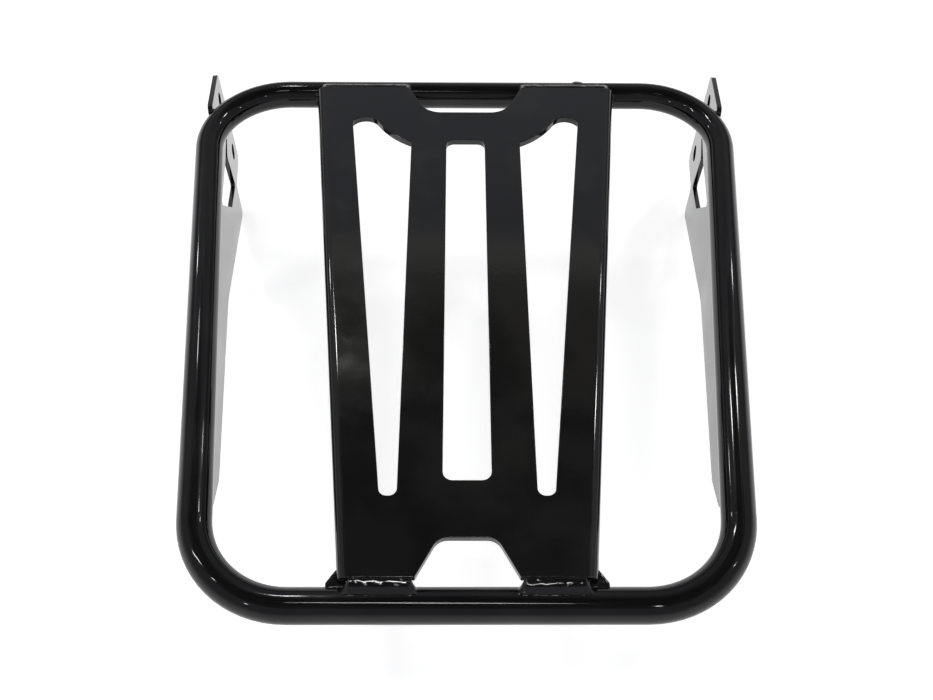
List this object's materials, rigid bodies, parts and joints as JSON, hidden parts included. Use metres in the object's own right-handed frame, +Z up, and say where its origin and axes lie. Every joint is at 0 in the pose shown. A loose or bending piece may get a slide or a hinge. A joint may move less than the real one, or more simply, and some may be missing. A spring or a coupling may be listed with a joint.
{
  "type": "motorcycle luggage rack",
  "caption": "Fixed motorcycle luggage rack: a tapered tube hoop with a slotted deck plate across it and two bolt-on side brackets, welded and painted gloss black.",
  "frame": {"origin": "middle of the rack in plan, at the height of its lowest edge, the tips of the two brackets' tongues", "axes": "+Z up, square to the flat deck; +Y towards the brackets' arms with the bolt holes; +X to the right"},
  "size_m": [0.3244, 0.3714, 0.1093],
  "materials": {
    "black_paint": "gloss",
    "weld_paint": "gloss"
  },
  "bodies": {
    "root": {"arm_tack_left": "weld_paint", "arm_tack_right": "weld_paint", "deck_plate": "black_paint", "flange_weld_far_left": "weld_paint", "flange_weld_far_right": "weld_paint", "flange_weld_near_left": "weld_paint", "flange_weld_near_right": "weld_paint", "hoop_butt_weld": "weld_paint", "hoop_tube": "black_paint", "leg_weld_far_left": "weld_paint", "leg_weld_far_right": "weld_paint", "leg_weld_near_left": "weld_paint", "leg_weld_near_right": "weld_paint", "rail_weld_left": "weld_paint", "rail_weld_right": "weld_paint", "side_plate_left": "black_paint", "side_plate_right": "black_paint"}
  },
  "joints": []
}
